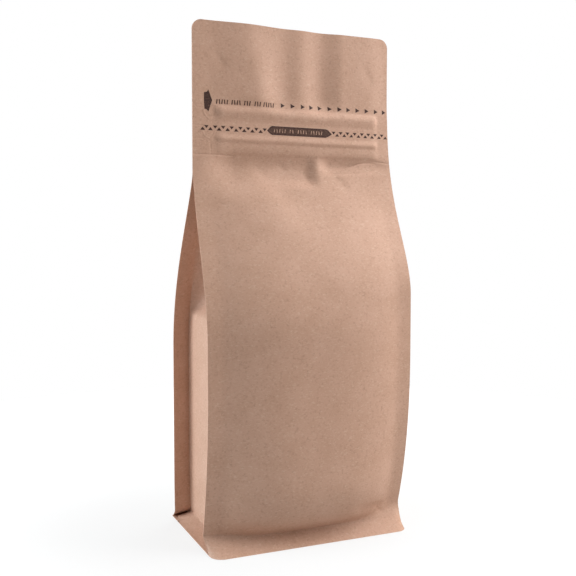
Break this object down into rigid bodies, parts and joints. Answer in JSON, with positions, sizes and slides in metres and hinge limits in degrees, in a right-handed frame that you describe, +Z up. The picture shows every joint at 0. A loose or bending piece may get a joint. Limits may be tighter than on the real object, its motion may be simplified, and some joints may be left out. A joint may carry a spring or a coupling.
{
  "type": "flat-bottom pouch",
  "caption": "Shut kraft paper flat-bottom pouch with folded side gussets, corner seals, a flared base flange and a flat header over a press zipper.",
  "frame": {"origin": "on the floor, under the middle of the pouch's bounding box", "axes": "+Z up towards the header's top edge, +X to the right across the front panel, -Y out of the front panel with the zipper strip"},
  "size_m": [0.13, 0.096, 0.309],
  "materials": {
    "kraft_paper": "matt natural brown kraft paper over a foil and plastic laminate"
  },
  "bodies": {
    "root": {"pouch": "kraft_paper"}
  },
  "joints": []
}
